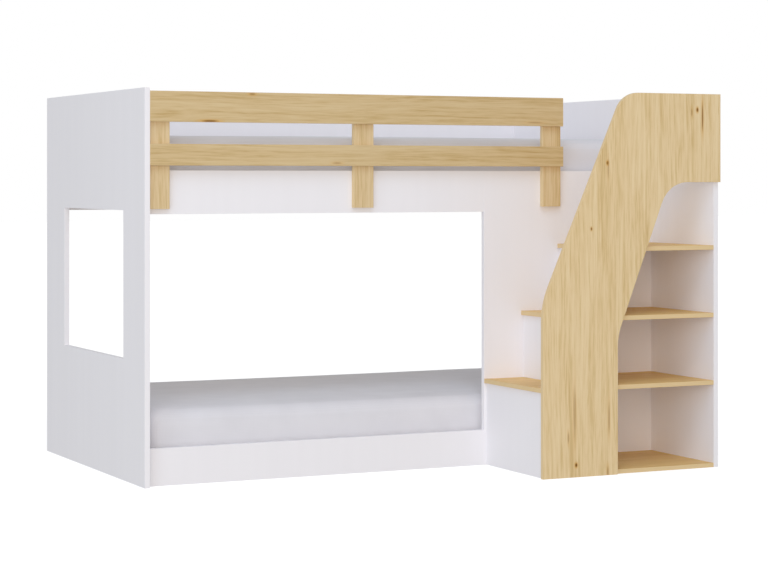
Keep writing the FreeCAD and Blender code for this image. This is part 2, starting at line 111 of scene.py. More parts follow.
# Where the colours of each material lie on its pattern, which goes from 0 to 1.
WHITE_STOPS = (0.35, 0.65)
OAK_STOPS = (0.34, 0.43, 0.5, 0.6)
PINE_STOPS = (0.38, 0.58)
BEECH_STOPS = (0.36, 0.48)
METAL_STOPS = (0.35, 0.65)
KNIT_STOPS = (0.45, 0.85)
PAPER_STOPS = (0.3, 0.7)

# Shares of the patterns that make up the tone of the oak and of the pine.
BAND_SHARE = 0.32
RING_SHARE = 0.06
STREAK_SHARE = 0.42
FIBRE_SHARE = 0.2
PINE_SHARE = 0.5
# How much of the printed grain goes round onto the edge banding.
EDGING_GRAIN = 0.15
# How many waves of the pine's slow waver go into one of its rings.
PINE_WAVER = 0.35
# The darker tone of a metal, and how much smoother its smoothest spots are.
METAL_DARK = 0.82
METAL_SMOOTHER = 0.16
# Share of each direction's ribs in the knit, how much the ribs darken its tone in their hollows as painted
# shade, and the size of its clouds.
RIB_SHARE = 0.33
RIB_PAINTED_SHADE = 0.35
CLOUD_SIZE = 0.12
# How much paler the palest paper is, and where its glow starts to rise and is full, from the bed's middle.
PAPER_PALER = 1.01
GLOW_RANGE = (1.5, 6.0)

# Distance between the bands of a wave texture whose scale is 1.
WAVE_PERIOD = 0.314
MIX_FACTOR, MIX_A, MIX_B, MIX_COLOUR = 0, 6, 7, 2

RING_SIDES = 24
# Drive recesses. A cross has twelve corners, and every third one is drawn in between two of its arms.
CROSS_CORNERS = 12
CROSS_TURN = math.radians(15)
CROSS_WAIST = 0.42
HEXAGON_CORNERS = 6
RECESS_TAPER = 0.8
# Recesses as shares of the head's radius, and their depths as shares of the head or in metres.
CROSS_SIZE = 0.6
HEXAGON_SIZE = 0.4
HEXAGON_DEPTH = 0.7
SCREW_RECESS_DEPTH = 0.5
CAM_RECESS_DEPTH = 0.003
CAM_CHAMFER = 0.0006
# Button head: radius and depth along its outline, as shares of its radius and of its height.
BUTTON_OUTLINE = ((0.55, 0.0), (0.82, 0.18), (1.0, 0.6), (1.0, 1.0))
BUTTON_HEIGHT = 0.5
# Shanks, and the tips and lands of the screws, as shares of the radius. The screw's rim is in metres.
SHANK = 0.5
SCREW_TIP = 0.2
SCREW_LAND = 0.96
SCREW_RIM = 0.0002

EDGE_SEGMENTS = 6
CLOTH_QUALITY = 5
# How much larger than the foam the cover is cut, as a share of its size.
COVER_SLACK = 0.015

SENSOR_WIDTH = 36
LEVEL = math.radians(90)
LIGHT_BREADTH = 5.0
CAMERA_LIGHT_PLACE = (-3.8, -8.1, 1.6)
LEFT_LIGHT_PLACE = (-7.4, -5.2, 1.6)
HIGH_LIGHT_PLACE = (-2.45, -5.24, 7.5)
LIGHT_TARGET = (0.0, 0.0, 0.6)


def linear(hex_colour):
    """Linear red, green and blue of an sRGB colour such as #e6e6eb."""
    channels = [int(hex_colour[place:place + 2], 16) / 255 for place in (1, 3, 5)]
    return [c / 12.92 if c <= 0.04045 else ((c + 0.055) / 1.055) ** 2.4 for c in channels]


def opaque(colour):
    """A colour property as red, green, blue and alpha."""
    return (*colour, 1.0)


def tint(label, purpose, hex_colour):
    """A colour property with its sRGB default."""
    return FloatVectorProperty(name=label, description=purpose, subtype="COLOR", size=3, min=0, max=1,
                               default=linear(hex_colour))


def length(label, purpose, metres):
    """A length property in metres."""
    return FloatProperty(name=label, description=purpose, subtype="DISTANCE", unit="LENGTH", min=0,
                         precision=5, default=metres)


def power(label, purpose, watts):
    """A property for the power of a light."""
    return FloatProperty(name=label, description=purpose, subtype="POWER", min=0, default=watts)


class BoardFinish(bpy.types.PropertyGroup):
    """Colours and pattern sizes of the white and the oak boards."""

    white_tone: tint("White", "Face of the white boards", "#fbf9fe")
    white_shade: tint("White streak", "Faint streaks in the white boards", "#f9f7fc")
    white_streak_width: length("White streak width", "Spacing of the faint upright streaks", 0.045)
    pearl_size: length("Pearl size", "Ripple of the pressed surface, drawn coarser than the real one", 0.003)
    oak_pale: tint("Oak, pale", "Early wood between the streaks", "#f8dba6")
    oak_middle: tint("Oak, middle", "Main tone of the oak decor", "#f0cf97")
    oak_deep: tint("Oak, deep", "Late wood streaks", "#e2bf81")
    oak_pore: tint("Oak pore", "Darkest fine lines", "#d2aa69")
    panel_shade: tint("Stair panel shade", "Multiplies the oak tones on the stair panel", "#f5f4f1")
    # Painted shade: the same oak decor, drawn darker on the guard posts for the shade that falls on them.
    post_painted_shade: tint("Post shade", "Multiplies the oak tones on the guard posts", "#e9e7e5")
    # Painted shade: the same oak decor, drawn darker and duller on the guard planks for the shade they stand
    # in.
    plank_painted_shade: tint("Plank shade", "Multiplies the oak tones on the guard planks", "#dcd8ce")
    # Painted shade and bounce light: the same oak decor, drawn deeper and warmer on the treads and shelves,
    # for the shade and the warm light bounced about inside the shelves.
    tread_painted_shade: tint("Tread shade", "Multiplies the oak tones on treads and shelves", "#f6e4b8")
    oak_edging: tint("Oak edging", "Edge banding of the oak boards", "#e4c58f")
    knot_tone: tint("Knot", "Heart of a knot", "#5c2e00")
    knot_halo: tint("Knot halo", "Warmer wood round a knot", "#d39a45")
    sway_width: length("Sway width", "Breadth of the sways of the grain", 0.15)
    sway_depth: length("Sway depth", "How far the grain sways aside", 0.05)
    band_width: length("Band width", "Breadth of the lighter and darker bands across the grain", 0.035)
    ring_spacing: length("Ring spacing", "Distance between year rings on the broad face", 0.018)
    streak_width: length("Streak width", "Breadth of the streaks across the grain", 0.0055)
    fibre_width: length("Fibre width", "Breadth of the fine fibres, drawn coarser than the real pores", 0.003)
    grain_stretch: FloatProperty(name="Grain stretch", description="How much longer than broad a streak is",
                                 min=1, default=24)


class SlatTimber(bpy.types.PropertyGroup):
    """Colours and grain of the slats, ledgers and dowels."""

    pine_pale: tint("Pine, pale", "Early wood of the slats", "#f3e8cf")
    pine_deep: tint("Pine, deep", "Late wood of the slats", "#e2cb9c")
    pine_ring: length("Pine ring", "Distance between year rings on a slat", 0.011)
    beech_pale: tint("Beech, pale", "Main tone of the dowels", "#d8b68c")
    beech_fleck: tint("Beech fleck", "Short flecks in the dowels", "#b98f62")
    fleck_size: length("Fleck size", "Length of a fleck in the dowels", 0.0025)


class FixingSizes(bpy.types.PropertyGroup):
    """Sizes and colours of the visible fixings."""

    screw_head: length("Screw head", "Radius of a countersunk screw head", 0.004)
    screw_length: length("Screw length", "Length of a screw", 0.028)
    screw_proud: length("Screw stand", "How far a screw head stands out of the wood", 0.00015)
    ledger_screws: IntProperty(name="Screws in a ledger", description="How many screws hold each ledger",
                               min=2, default=8)
    ledger_end: length("Ledger end", "From a ledger's end to its first screw", 0.06)
    steel_tone: tint("Zinc-plated steel", "Bolts and screws", "#b9bbbd")
    zinc_tone: tint("Cast zinc", "Cam locks", "#9c9ea1")


class MattressLook(bpy.types.PropertyGroup):
    """Form and cover of the mattresses."""

    cover_tone: tint("Cover", "Knitted cover of the mattresses", "#e4e3ea")
    # Darker tone of the cover: painted shade in the hollows between the knit's ribs, and the darker patches
    # of its clouds.
    cover_cloud_and_hollow_shade: tint("Cover shade", "Hollows of the knit", "#dddce3")
    knit_spacing: length("Knit spacing", "Between ribs of the knit, drawn coarser than the real one", 0.005)
    edge_round: length("Edge round", "Radius of the edges", 0.05)
    crown: length("Crown", "Rise of the top in the middle", 0.008)
    draw: length("Draw", "How far the sides pull in between the corners", 0.003)
    voxel: length("Voxel", "Mesh size of the cover while it is filled", 0.014)
    swell: length("Swell", "Most that a point of the cover moves while it is filled", 0.005)
    pressure: FloatProperty(name="Pressure", description="Pressure of the filling", min=0, default=4)
    frames: IntProperty(name="Frames", description="How long the cover is filled", min=1, default=20)


class Studio(bpy.types.PropertyGroup):
    """Camera, floor and soft lights."""

    camera_place: FloatVectorProperty(name="Camera place", description="Where the camera stands",
                                      subtype="TRANSLATION", unit="LENGTH", size=3,
                                      default=(-3.3003, -6.9341, 0.9987))
    camera_turn: FloatProperty(name="Camera turn", description="Heading of the level camera, from +Y",
                               subtype="ANGLE", unit="ROTATION", default=math.radians(-25.72))
    lens: FloatProperty(name="Lens", description="Focal length on a 36 mm sensor", unit="CAMERA",
                        default=101.3)
    rise: FloatProperty(name="Rise", description="Vertical lens shift, in picture widths", default=-0.1434)
    floor_tone: tint("Floor", "Pale floor", "#fdfdfd")
    floor_reach: length("Floor reach", "Half the breadth of the floor", 40.0)
    near_glow: FloatProperty(name="Near glow", description="How much the floor shines by itself at the bed",
                             min=0, default=0.52)
    far_glow: FloatProperty(name="Far glow", description="How much the floor shines by itself far away",
                            min=0, default=0.62)
    sky: FloatProperty(name="Sky", description="Strength of the even white surroundings", min=0,
                       default=0.446)
    camera_power: power("Camera light", "Power of the large light beside the camera", 168)
    camera_tone: tint("Camera light tone", "Warm colour of the light beside the camera", "#ffe6ca")
    left_power: power("Left light", "Power of the large light at the left", 152)
    left_tone: tint("Left light tone", "Cool colour of the light at the left", "#dceeff")
    high_power: power("High light", "Power of the large light above the camera", 190)
    high_tone: tint("High light tone", "Cool colour of the light above the camera", "#daeaff")
    gamma: FloatProperty(name="Gamma", description="Lift of the middle tones in the picture", min=0.1,
                         default=1.3)


def add_node(tree, kind, inputs=None, stops=None, **settings):
    """Adds a node, sets its properties and colour stops, and gives each named input a value or a link."""
    node = tree.nodes.new(kind)
    for name, value in settings.items():
        setattr(node, name, value)
    for name, value in (inputs or {}).items():
        if isinstance(value, bpy.types.NodeSocket):
            tree.links.new(value, node.inputs[name])
        else:
            node.inputs[name].default_value = value
    if stops:
        positions, colours = stops
        band = node.color_ramp
        while len(band.elements) < len(positions):
            band.elements.new(1.0)
        for element, position, colour in zip(band.elements, positions, colours):
            element.position = position
            element.color = opaque(colour)
    return node


def new_material(name):
    """A material with a Principled surface, and its tree, surface node and Object coordinates."""
    material = bpy.data.materials.new(name)
    material.use_nodes = True
    tree = material.node_tree
    surface = tree.nodes["Principled BSDF"]
    place = add_node(tree, "ShaderNodeTexCoord").outputs["Object"]
    return material, tree, surface, place


def stretched(along, ratio):
    """Scale that draws a pattern out by a ratio along one axis."""
    return tuple(1 / ratio if axis == along else 1 for axis in AXES)


def white_melamine(finish):
    """Melamine-faced board, pressed against a pearl plate: an even satin white with a fine ripple.

    Very faint upright streaks keep large faces from looking like one flat tone.
    """
    material, tree, surface, place = new_material("white_melamine_pressed")
    upright = add_node(tree, "ShaderNodeMapping", {
        "Vector": place, "Scale": stretched("Z", WHITE_STRETCH)})
    streaks = add_node(tree, "ShaderNodeTexNoise", {
        "Vector": upright.outputs["Vector"], "Scale": 1 / finish.white_streak_width, "Detail": 3.0})
    tone = add_node(tree, "ShaderNodeValToRGB", {"Fac": streaks.outputs["Fac"]},
                    stops=(WHITE_STOPS, (finish.white_shade, finish.white_tone)))
    pearl = add_node(tree, "ShaderNodeTexNoise", {
        "Vector": place, "Scale": 1 / finish.pearl_size, "Detail": 2.0, "Roughness": 0.4})
    gloss = add_node(tree, "ShaderNodeMapRange", {
        "Value": pearl.outputs["Fac"], "To Min": 0.38, "To Max": 0.5})
    ripple = add_node(tree, "ShaderNodeBump", {
        "Height": pearl.outputs["Fac"], "Strength": 0.06, "Distance": 0.0004})
    tree.links.new(tone.outputs["Color"], surface.inputs["Base Color"])
    tree.links.new(gloss.outputs["Result"], surface.inputs["Roughness"])
    tree.links.new(ripple.outputs["Normal"], surface.inputs["Normal"])
    surface.inputs["Specular IOR Level"].default_value = 0.3
    return material


def oak_decor(name, finish, along, across, knots, shade):
    """Oak-printed foil on board, satin lacquered: pale straight-grained wood with a few small knots.

    Broad bands, year rings, streaks and fibres are drawn out along the grain. They sway a little,
    and part round each knot, which is a soft dark spot in warmer wood. Narrow faces have edge
    banding in a tone of its own, with only a trace of the grain.
    """
    material, tree, surface, place = new_material(name)
    slow = add_node(tree, "ShaderNodeMapping", {
        "Vector": place, "Scale": stretched(along, SWAY_STRETCH)})
    sway = add_node(tree, "ShaderNodeTexNoise", {
        "Vector": slow.outputs["Vector"], "Scale": 1 / finish.sway_width, "Detail": 1.5})
    bent = add_node(tree, "ShaderNodeVectorMath", {
        0: sway.outputs["Color"], 1: [finish.sway_depth] * 3, 2: place},
        operation="MULTIPLY_ADD").outputs["Vector"]
    spots = []
    for x, z, half_width, half_length, darkness in knots:
        half = {along: half_length * KNOT_REACH, across: half_width * KNOT_REACH}
        scale = (1 / half["X"], 0.0, 1 / half["Z"])
        local = add_node(tree, "ShaderNodeMapping", {
            "Vector": place, "Location": (-x * scale[0], 0.0, -z * scale[2]),
            "Scale": scale}).outputs["Vector"]
        spot = add_node(tree, "ShaderNodeTexGradient", {"Vector": local},
                        gradient_type="QUADRATIC_SPHERE").outputs["Fac"]
        push = add_node(tree, "ShaderNodeVectorMath", {0: local, "Scale": spot}, operation="SCALE")
        aside = [KNOT_SWERVE * half[across] if axis == across else 0.0 for axis in AXES]
        bent = add_node(tree, "ShaderNodeVectorMath", {0: push.outputs["Vector"], 1: aside, 2: bent},
                        operation="MULTIPLY_ADD").outputs["Vector"]
        spots.append((spot, darkness))
    drawn = add_node(tree, "ShaderNodeMapping", {
        "Vector": bent, "Scale": stretched(along, finish.grain_stretch)}).outputs["Vector"]
    bands = add_node(tree, "ShaderNodeTexNoise", {
        "Vector": drawn, "Scale": 1 / finish.band_width, "Detail": 2.0, "Distortion": 0.4})
    rings = add_node(tree, "ShaderNodeTexWave", {
        "Vector": drawn, "Scale": WAVE_PERIOD / finish.ring_spacing, "Distortion": 3.0, "Detail": 2.0,
        "Detail Scale": 0.6}, wave_type="BANDS", bands_direction=across, wave_profile="SAW")
    streaks = add_node(tree, "ShaderNodeTexNoise", {
        "Vector": drawn, "Scale": 1 / finish.streak_width, "Detail": 4.0, "Roughness": 0.62})
    fibres = add_node(tree, "ShaderNodeTexNoise", {
        "Vector": drawn, "Scale": 1 / finish.fibre_width, "Detail": 2.0, "Roughness": 0.6})
    patterns = ((bands, BAND_SHARE), (rings, RING_SHARE), (streaks, STREAK_SHARE), (fibres, FIBRE_SHARE))
    total = 0.0
    for pattern, share in patterns:
        total = add_node(tree, "ShaderNodeMath", {0: pattern.outputs["Fac"], 1: share, 2: total},
                         operation="MULTIPLY_ADD").outputs["Value"]
    wood = add_node(tree, "ShaderNodeValToRGB", {"Fac": total}, stops=(
        OAK_STOPS, (finish.oak_pore, finish.oak_deep, finish.oak_middle, finish.oak_pale)))
    facing = add_node(tree, "ShaderNodeTexCoord").outputs["Normal"]
    thickness = [0.0 if axis in (along, across) else 1.0 for axis in AXES]
    turned = add_node(tree, "ShaderNodeVectorMath", {0: facing, 1: thickness}, operation="DOT_PRODUCT")
    broad = add_node(tree, "ShaderNodeMath", {0: turned.outputs["Value"]}, operation="ABSOLUTE")
    # The printed oak is multiplied by the part's shade; on posts, planks and treads this is painted shade.
    face = add_node(tree, "ShaderNodeMix", {
        MIX_FACTOR: 1.0, MIX_A: wood.outputs["Color"], MIX_B: opaque(shade)},
        data_type="RGBA", blend_type="MULTIPLY")
    printed = add_node(tree, "ShaderNodeMapRange", {
        "Value": broad.outputs["Value"], "To Min": EDGING_GRAIN})
    colour = add_node(tree, "ShaderNodeMix", {
        MIX_FACTOR: printed.outputs["Result"], MIX_A: opaque(finish.oak_edging),
        MIX_B: face.outputs[MIX_COLOUR]}, data_type="RGBA").outputs[MIX_COLOUR]
    for spot, darkness in spots:
        for (start, full), tone in ((HALO_RANGE, finish.knot_halo), (HEART_RANGE, finish.knot_tone)):
            strength = add_node(tree, "ShaderNodeMapRange", {
                "Value": spot, "From Min": start, "From Max": full, "To Max": darkness})
            colour = add_node(tree, "ShaderNodeMix", {
                MIX_FACTOR: strength.outputs["Result"], MIX_A: colour, MIX_B: opaque(tone)},
                data_type="RGBA").outputs[MIX_COLOUR]
    gloss = add_node(tree, "ShaderNodeMapRange", {
        "Value": streaks.outputs["Fac"], "To Min": 0.6, "To Max": 0.48})
    relief = add_node(tree, "ShaderNodeBump", {
        "Height": fibres.outputs["Fac"], "Strength": 0.1, "Distance": 0.0004})
    tree.links.new(colour, surface.inputs["Base Color"])
    tree.links.new(gloss.outputs["Result"], surface.inputs["Roughness"])
    tree.links.new(relief.outputs["Normal"], surface.inputs["Normal"])
    surface.inputs["Specular IOR Level"].default_value = 0.2
    return material


def planed_pine(name, timber, along):
    """Planed pine, unfinished: pale wood with darker year rings that run along the piece."""
    material, tree, surface, place = new_material(name)
    drawn = add_node(tree, "ShaderNodeMapping", {
        "Vector": place, "Scale": stretched(along, PINE_STRETCH)}).outputs["Vector"]
    waver = add_node(tree, "ShaderNodeTexNoise", {
        "Vector": drawn, "Scale": PINE_WAVER / timber.pine_ring, "Detail": 2.0})
    rings = add_node(tree, "ShaderNodeTexNoise", {
        "Vector": drawn, "Scale": 1 / timber.pine_ring, "Detail": 3.0, "Distortion": 0.8})
    total = 0.0
    for pattern in (waver, rings):
        total = add_node(tree, "ShaderNodeMath", {0: pattern.outputs["Fac"], 1: PINE_SHARE, 2: total},
                         operation="MULTIPLY_ADD").outputs["Value"]
    wood = add_node(tree, "ShaderNodeValToRGB", {"Fac": total},
                    stops=(PINE_STOPS, (timber.pine_deep, timber.pine_pale)))
    gloss = add_node(tree, "ShaderNodeMapRange", {
        "Value": rings.outputs["Fac"], "To Min": 0.7, "To Max": 0.55})
    relief = add_node(tree, "ShaderNodeBump", {
        "Height": rings.outputs["Fac"], "Strength": 0.15, "Distance": 0.0006})
    tree.links.new(wood.outputs["Color"], surface.inputs["Base Color"])
    tree.links.new(gloss.outputs["Result"], surface.inputs["Roughness"])
    tree.links.new(relief.outputs["Normal"], surface.inputs["Normal"])
    return material


def turned_beech(timber):
    """Turned beech: an even pinkish brown with short dark flecks."""
    material, tree, surface, place = new_material("beech_turned")
    flecks = add_node(tree, "ShaderNodeTexNoise", {
        "Vector": place, "Scale": 1 / timber.fleck_size, "Detail": 2.0, "Distortion": 0.5})
    wood = add_node(tree, "ShaderNodeValToRGB", {"Fac": flecks.outputs["Fac"]},
                    stops=(BEECH_STOPS, (timber.beech_fleck, timber.beech_pale)))
    tree.links.new(wood.outputs["Color"], surface.inputs["Base Color"])
    surface.inputs["Roughness"].default_value = 0.65
    return material


def metal(name, tone, grit, roughest):
    """A bare metal whose sheen varies with the grit of its surface, which is given in metres."""
    material, tree, surface, place = new_material(name)
    grain = add_node(tree, "ShaderNodeTexNoise", {"Vector": place, "Scale": 1 / grit, "Detail": 3.0})
    darker = [channel * METAL_DARK for channel in tone]
    colour = add_node(tree, "ShaderNodeValToRGB", {"Fac": grain.outputs["Fac"]},
                      stops=(METAL_STOPS, (darker, tone)))
    gloss = add_node(tree, "ShaderNodeMapRange", {
        "Value": grain.outputs["Fac"], "To Min": roughest - METAL_SMOOTHER, "To Max": roughest})
    tree.links.new(colour.outputs["Color"], surface.inputs["Base Color"])
    tree.links.new(gloss.outputs["Result"], surface.inputs["Roughness"])
    surface.inputs["Metallic"].default_value = 1.0
    return material


def knitted_ticking(look):
    """Knitted polyester cover: a soft matt off-white with close ribs each way and a little sheen."""
    material, tree, surface, place = new_material("polyester_ticking_knitted")
    height = 0.0
    for direction in AXES:
        ribs = add_node(tree, "ShaderNodeTexWave", {
            "Vector": place, "Scale": WAVE_PERIOD / look.knit_spacing}, bands_direction=direction)
        height = add_node(tree, "ShaderNodeMath", {0: ribs.outputs["Fac"], 1: RIB_SHARE, 2: height},
                          operation="MULTIPLY_ADD").outputs["Value"]
    cloud = add_node(tree, "ShaderNodeTexNoise", {"Vector": place, "Scale": 1 / CLOUD_SIZE, "Detail": 3.0})
    # The cover's tone darkens in the hollows between the ribs as painted shade, over its uneven clouds.
    clouds_and_painted_hollows = add_node(tree, "ShaderNodeMath", {0: height, 1: RIB_PAINTED_SHADE, 2: cloud.outputs["Fac"]},
                      operation="MULTIPLY_ADD")
    tone = add_node(tree, "ShaderNodeValToRGB", {"Fac": clouds_and_painted_hollows.outputs["Value"]},
                    stops=(KNIT_STOPS, (look.cover_cloud_and_hollow_shade, look.cover_tone)))
    knit = add_node(tree, "ShaderNodeBump", {"Height": height, "Strength": 0.15, "Distance": 0.0006})
    tree.links.new(tone.outputs["Color"], surface.inputs["Base Color"])
    tree.links.new(knit.outputs["Normal"], surface.inputs["Normal"])
    surface.inputs["Roughness"].default_value = 0.9
    surface.inputs["Sheen Weight"].default_value = 0.12
    return material


def floor_paper(studio):
    """Matt studio paper: an even pale floor with the slightest cloudiness.

    It shines a little, more so far away, and so runs into the white surroundings without a horizon.
    """
    material, tree, surface, place = new_material("studio_paper_matt")
    cloud = add_node(tree, "ShaderNodeTexNoise", {"Vector": place, "Scale": 0.5, "Detail": 2.0})
    paler = [min(1.0, channel * PAPER_PALER) for channel in studio.floor_tone]
    tone = add_node(tree, "ShaderNodeValToRGB", {"Fac": cloud.outputs["Fac"]},
                    stops=(PAPER_STOPS, (studio.floor_tone, paler)))
    tree.links.new(tone.outputs["Color"], surface.inputs["Base Color"])
    surface.inputs["Roughness"].default_value = 1.0
    surface.inputs["Specular IOR Level"].default_value = 0.0
    around = add_node(tree, "ShaderNodeVectorMath", {0: place}, operation="LENGTH")
    glow = add_node(tree, "ShaderNodeMapRange", {
        "Value": around.outputs["Value"], "From Min": GLOW_RANGE[0], "From Max": GLOW_RANGE[1],
        "To Min": studio.near_glow, "To Max": studio.far_glow}, interpolation_type="SMOOTHSTEP")
    tree.links.new(glow.outputs["Result"], surface.inputs["Emission Strength"])
    surface.inputs["Emission Color"].default_value = (1, 1, 1, 1)
    return material


def dress(node, material):
    """Gives a CAD node a finish in place of its plain one."""
    for slot in frame["nodes"][node].material_slots:
        slot.material = material


def nodes_in(slot):
    """Names of the CAD nodes in one of the record's material slots."""
    return [node for node, own in SLOT_OF.items() if own == slot]


def closed_mesh(name, builder):
    """The mesh that a bmesh has built, with its faces turned outwards. It frees the bmesh."""
    bmesh.ops.recalc_face_normals(builder, faces=builder.faces)
    mesh = bpy.data.meshes.new(name)
    builder.to_mesh(mesh)
    builder.free()
    return mesh


def new_piece(name, builder, material):
    """A mesh object at the origin, with its faces turned outwards and one material."""
    piece = bpy.data.objects.new(name, closed_mesh(name, builder))
    piece.data.materials.append(material)
    bpy.context.scene.collection.objects.link(piece)
    return piece


def solids_of(node):
    """Lowest and highest corner of each separate solid in a CAD node."""
    builder = bmesh.new()
    builder.from_mesh(frame["nodes"][node].data)
    bmesh.ops.remove_doubles(builder, verts=builder.verts, dist=1e-6)
    waiting = set(builder.verts)
    boxes = []
    while waiting:
        edge_of_search = [waiting.pop()]
        found = []
        while edge_of_search:
            vertex = edge_of_search.pop()
            found.append(vertex.co.copy())
            near = {edge.other_vert(vertex) for edge in vertex.link_edges} & waiting
            waiting -= near
            edge_of_search.extend(near)
        low = Vector(min(point[axis] for point in found) for axis in range(3))
        high = Vector(max(point[axis] for point in found) for axis in range(3))
        boxes.append((low, high))
    builder.free()
    return boxes


def ring(builder, sides, radius, height, turn=0.0):
    """A closed ring of corners round the Z axis, and the edges between them."""
    place = Matrix.Translation((0, 0, height)) @ Matrix.Rotation(turn, 4, "Z")
    corners = bmesh.ops.create_circle(builder, segments=sides, radius=radius, matrix=place)["verts"]
    return corners, list({edge for corner in corners for edge in corner.link_edges})


def turned_fixing(profile, recess_radius, recess_depth, cross):
    """A turned fixing with its drive recess up: profile rows are radius and height, from the rim down.

    The recess is a cross of four arms or a hexagon, and narrows towards its floor.
    """
    builder = bmesh.new()
    top = profile[0][1]
    sides, turn = (CROSS_CORNERS, CROSS_TURN) if cross else (HEXAGON_CORNERS, 0.0)
    rim, rim_edges = ring(builder, sides, recess_radius, top, turn)
    bed, bed_edges = ring(builder, sides, recess_radius * RECESS_TAPER, top - recess_depth, turn)
    if cross:
        waist = rim[1::3] + bed[1::3]
        bmesh.ops.scale(builder, vec=(CROSS_WAIST, CROSS_WAIST, 1), verts=waist)
    bmesh.ops.bridge_loops(builder, edges=rim_edges + bed_edges)
    bmesh.ops.edgeloop_fill(builder, edges=bed_edges)
    last_edges = rim_edges
    for radius, height in profile:
        _, edges = ring(builder, RING_SIDES, radius, height)
        bmesh.ops.bridge_loops(builder, edges=last_edges + edges)
        last_edges = edges
    bmesh.ops.edgeloop_fill(builder, edges=last_edges)
    return closed_mesh("fixing", builder)


def set_out(name, fixings, material):
    """One piece made of fixings, each a mesh, the point of its head and the way that its head faces."""
    builder = bmesh.new()
    for mesh, point, facing in fixings:
        before = len(builder.verts)
        builder.from_mesh(mesh)
        builder.verts.ensure_lookup_table()
        turn = Vector(facing).to_track_quat("Z", "X").to_matrix().to_4x4()
        bmesh.ops.transform(builder, matrix=Matrix.Translation(point) @ turn, verts=builder.verts[before:])
    return new_piece(name, builder, material)


class BUNKBED_OT_white_boards(bpy.types.Operator):
    """Gives the white boards their pressed melamine finish"""

    bl_idname = "bunkbed.white_boards"
    bl_label = "White boards"

    def execute(self, context):
        material = white_melamine(context.scene.bunkbed_boards)
        for node in nodes_in("white_board"):
            dress(node, material)
        return {"FINISHED"}


class BUNKBED_OT_oak_boards(bpy.types.Operator):
    """Gives the stair panel, treads and guard rail their oak decor"""

    bl_idname = "bunkbed.oak_boards"
    bl_label = "Oak boards"

    def execute(self, context):
        finish = context.scene.bunkbed_boards
        for name, along, across, knots, shade, nodes in OAK_BOARDS:
            material = oak_decor(name, finish, along, across, knots, getattr(finish, shade))
            for node in nodes:
                dress(node, material)
        return {"FINISHED"}


class BUNKBED_OT_slat_timber(bpy.types.Operator):
    """Gives the slats, ledgers and dowels their timber"""

    bl_idname = "bunkbed.slat_timber"
    bl_label = "Slats and ledgers"

    def execute(self, context):
        timber = context.scene.bunkbed_timber
        slats = planed_pine("pine_planed_slats", timber, "Y")
        ledgers = planed_pine("pine_planed_ledgers", timber, "X")
        for node in nodes_in("slat_pine"):
            dress(node, ledgers if "ledger" in node else slats)
        beech = turned_beech(timber)
        for node in nodes_in("beech_dowel"):
            dress(node, beech)
        return {"FINISHED"}


